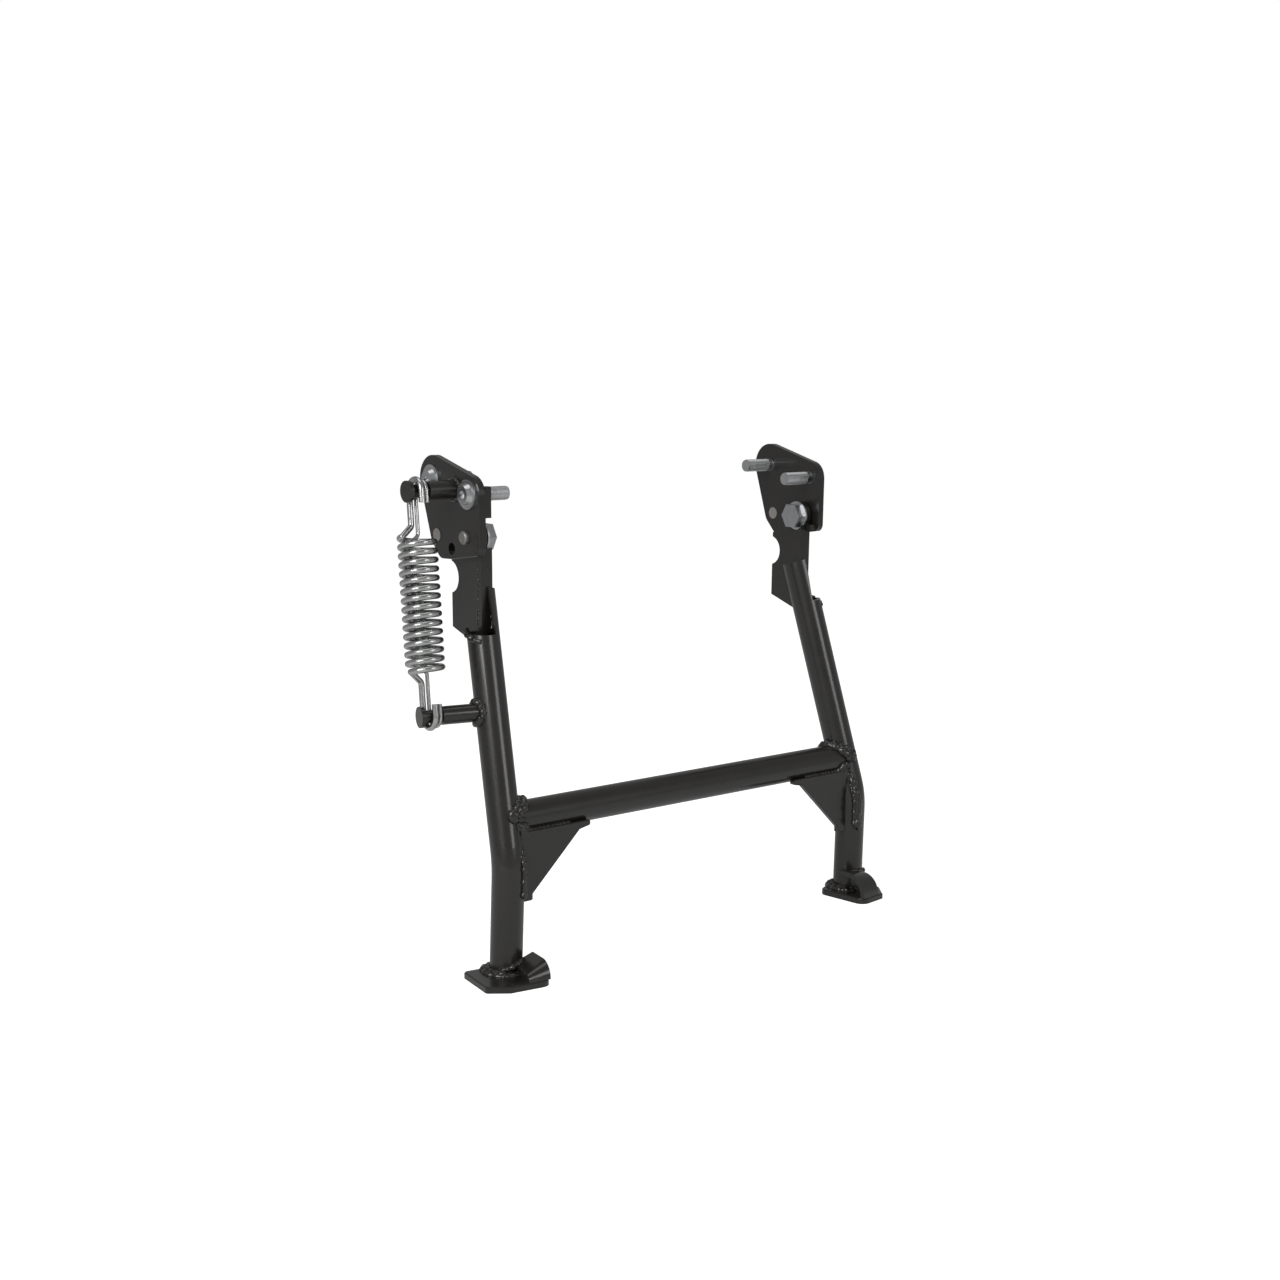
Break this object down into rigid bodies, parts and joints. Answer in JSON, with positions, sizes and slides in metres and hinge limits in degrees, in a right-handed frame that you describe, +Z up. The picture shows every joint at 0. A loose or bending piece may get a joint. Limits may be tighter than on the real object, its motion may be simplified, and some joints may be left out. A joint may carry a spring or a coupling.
{
  "type": "motorcycle centre stand",
  "caption": "Tubular double-leg stand that swings on two bolted brackets and is held by a nested pair of tension springs.",
  "frame": {"origin": "axis of the right bracket's rear frame bolt, on the bracket's seating face", "axes": "+X towards the front wheel, +Y towards the motorcycle's left side along the pivot, +Z up"},
  "size_m": [0.1583, 0.5017, 0.3853],
  "materials": {
    "black_steel": "semi-gloss black powder coat",
    "zinc_steel": "bright zinc plate",
    "plain_steel": "plain dull steel",
    "bronze": "plain bearing bronze"
  },
  "bodies": {
    "brackets": {"right_bracket": "black_steel", "right_stop_block": "black_steel", "right_rear_frame_bolt": "zinc_steel", "right_front_frame_bolt": "zinc_steel", "right_bracket_dowel": "plain_steel", "right_pivot_bolt": "zinc_steel", "right_pivot_washer": "zinc_steel", "left_bracket": "black_steel", "left_stop_block": "black_steel", "left_rear_frame_bolt": "zinc_steel", "left_front_frame_bolt": "zinc_steel", "left_bracket_dowel": "plain_steel", "left_pivot_bolt": "zinc_steel", "left_pivot_washer": "zinc_steel", "upper_spring_peg": "black_steel"},
    "stand": {"right_leg": "black_steel", "right_ear": "black_steel", "right_pivot_sleeve": "black_steel", "right_pivot_liner": "bronze", "right_gusset": "black_steel", "right_sole_plate": "black_steel", "right_rolled_toe": "black_steel", "left_leg": "black_steel", "left_ear": "black_steel", "left_pivot_sleeve": "black_steel", "left_pivot_liner": "bronze", "left_gusset": "black_steel", "left_sole_plate": "black_steel", "left_rolled_toe": "black_steel", "cross_tube": "black_steel", "lower_spring_peg": "black_steel", "foot_lever": "black_steel", "lever_tread": "black_steel"},
    "springs": {"outer_spring": "zinc_steel", "inner_spring": "zinc_steel"}
  },
  "joints": [
    {"name": "stand_hinge", "type": "hinge", "parent": "brackets", "child": "stand", "pos_m": [0.0444, 0, -0.0405], "axis": [0, 1, 0], "range_deg": [0, 88], "stiffness_Nm_per_rad": 2, "springref_deg": -85.94, "deforming": ["outer_spring", "inner_spring"]},
    {"name": "spring_swing", "type": "hinge", "parent": "brackets", "child": "springs", "pos_m": [0.0309, 0, -0.0058], "axis": [0, 1, 0], "range_deg": [0, 74.4]}
  ],
  "couplings": [
    {"joint": "spring_swing", "follows": "stand_hinge", "ratio": 0.8453}
  ]
}
